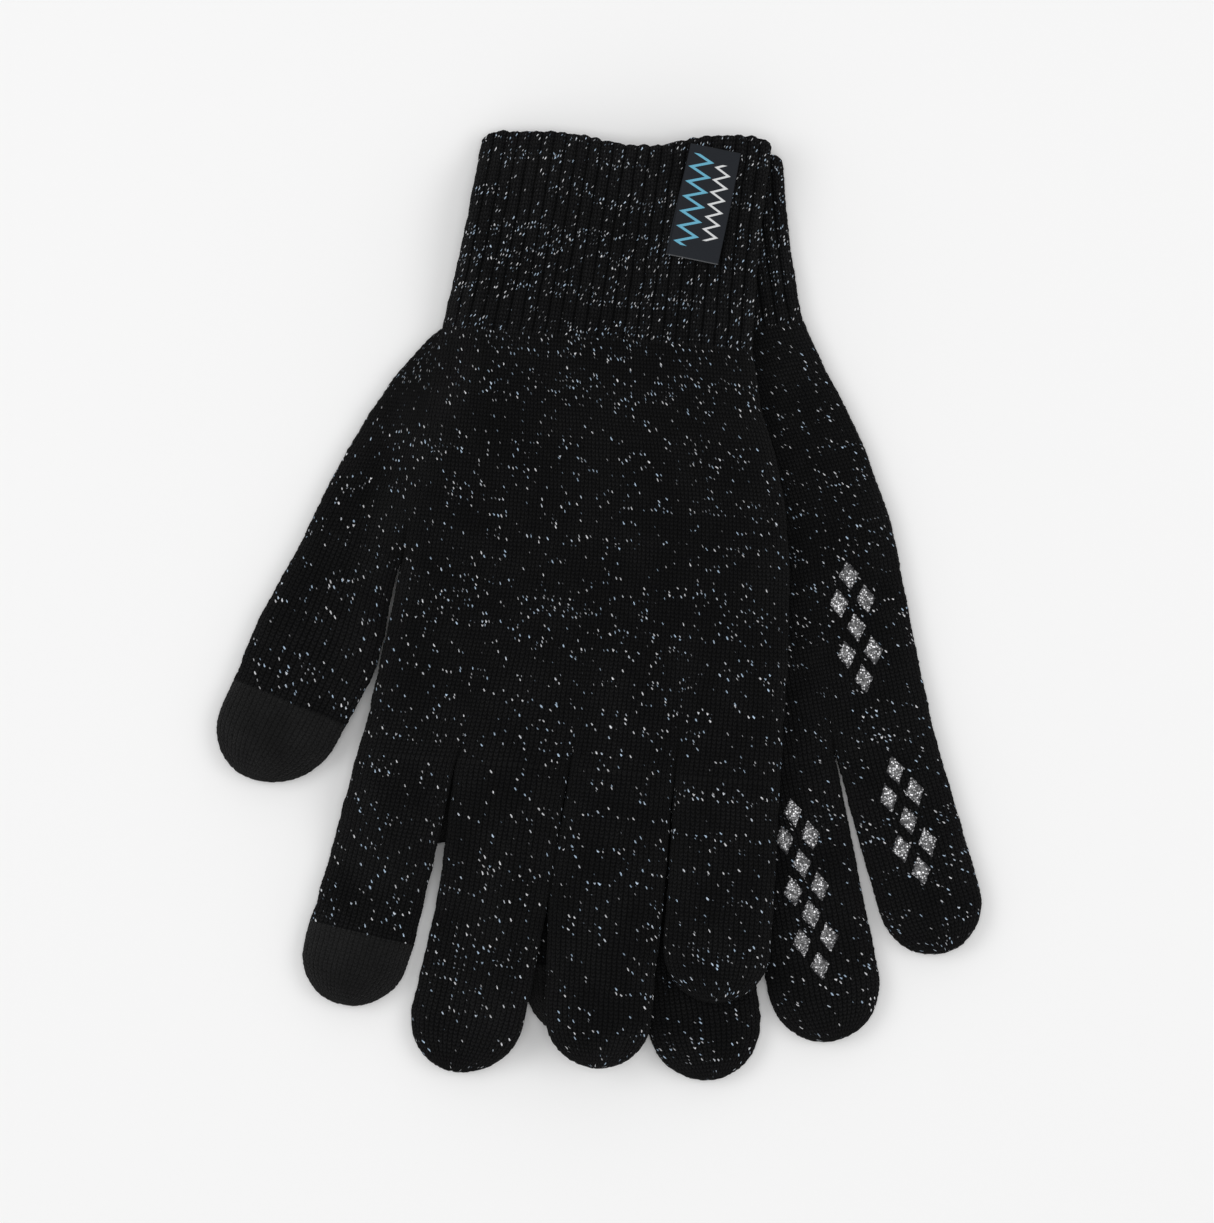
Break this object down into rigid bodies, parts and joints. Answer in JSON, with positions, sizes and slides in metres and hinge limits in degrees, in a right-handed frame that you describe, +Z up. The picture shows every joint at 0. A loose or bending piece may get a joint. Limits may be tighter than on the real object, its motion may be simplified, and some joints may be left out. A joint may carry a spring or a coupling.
{
  "type": "touchscreen gloves",
  "caption": "Black knitted stretch gloves with silver flecks, ribbed cuffs, touchscreen thumb and index tips and diamond grip prints, laid one over the other.",
  "frame": {"origin": "on the table, under the middle of the box around the pair", "axes": "+Z up from the table, +Y from the fingertips towards the cuffs, +X towards the right glove's little finger"},
  "size_m": [0.1773, 0.2208, 0.0178],
  "materials": {
    "knit": "matte plain knit with silver flecks",
    "rib_knit": "matte ribbed knit with silver flecks",
    "touch_knit": "matte brushed knit without flecks",
    "grip_print": "silver glitter in clear print",
    "woven_label": "smooth satin weave"
  },
  "bodies": {
    "right_glove": {"right_hand_tube": "knit", "right_cuff_rib": "rib_knit", "right_cuff_welt": "rib_knit", "right_thumb_stall": "knit", "right_thumb_touch_tip": "touch_knit", "right_index_stall": "knit", "right_index_touch_tip": "touch_knit", "right_middle_stall": "knit", "right_ring_stall": "knit", "right_palm_grip_1": "grip_print", "right_palm_grip_2": "grip_print", "right_palm_grip_3": "grip_print", "right_palm_grip_4": "grip_print", "right_palm_grip_5": "grip_print", "right_palm_grip_6": "grip_print", "right_palm_grip_7": "grip_print", "right_ring_grip_1": "grip_print", "right_ring_grip_2": "grip_print", "right_ring_grip_3": "grip_print", "right_ring_grip_4": "grip_print", "right_ring_grip_5": "grip_print", "right_ring_grip_6": "grip_print", "right_ring_grip_7": "grip_print", "right_ring_grip_8": "grip_print", "right_ring_grip_9": "grip_print", "right_ring_grip_10": "grip_print"},
    "right_little": {"right_little_stall": "knit", "right_little_grip_1": "grip_print", "right_little_grip_2": "grip_print", "right_little_grip_3": "grip_print", "right_little_grip_4": "grip_print", "right_little_grip_5": "grip_print", "right_little_grip_6": "grip_print", "right_little_grip_7": "grip_print"},
    "left_glove": {"left_hand_tube": "knit"},
    "left_cuff": {"left_cuff_rib": "rib_knit", "left_cuff_welt": "rib_knit", "left_cuff_label": "woven_label"},
    "left_thumb": {"left_thumb_stall": "knit", "left_thumb_touch_tip": "touch_knit"},
    "left_index": {"left_index_stall": "knit", "left_index_touch_tip": "touch_knit"},
    "left_middle": {"left_middle_stall": "knit"},
    "left_ring": {"left_ring_stall": "knit"},
    "left_little": {"left_little_stall": "knit"}
  },
  "joints": [
    {"name": "left_glove_lift", "type": "slide", "parent": "right_glove", "child": "left_glove", "axis": [0, 0, 1], "range_m": [0, 0.15]},
    {"name": "left_thumb_fold", "type": "hinge", "parent": "left_glove", "child": "left_thumb", "pos_m": [-0.05689, 0.01417, 0.0122], "axis": [-0.9243, 0.3817, 0], "range_deg": [0, 90]},
    {"name": "left_index_fold", "type": "hinge", "parent": "left_glove", "child": "left_index", "pos_m": [-0.04522, -0.03533, 0.0167], "axis": [-0.9973, 0.0739, 0], "range_deg": [0, 90]},
    {"name": "left_middle_fold", "type": "hinge", "parent": "left_glove", "child": "left_middle", "pos_m": [-0.02019, -0.03718, 0.0167], "axis": [-0.9973, 0.0739, 0], "range_deg": [0, 90]},
    {"name": "left_ring_fold", "type": "hinge", "parent": "left_glove", "child": "left_ring", "pos_m": [0.00514, -0.03906, 0.0167], "axis": [-0.9973, 0.0739, 0], "range_deg": [0, 90]},
    {"name": "left_little_fold", "type": "hinge", "parent": "left_glove", "child": "left_little", "pos_m": [0.02967, -0.04088, 0.0167], "axis": [-0.9973, 0.0739, 0], "range_deg": [0, 90]},
    {"name": "left_cuff_fold", "type": "hinge", "parent": "left_glove", "child": "left_cuff", "pos_m": [-0.00063, 0.06164, 0.0167], "axis": [0.9973, -0.0739, 0], "range_deg": [0, 140]},
    {"name": "right_little_fold", "type": "hinge", "parent": "right_glove", "child": "right_little", "pos_m": [0.06639, -0.03223, 0.0078], "axis": [-0.9831, -0.1833, 0], "range_deg": [0, 90]}
  ]
}
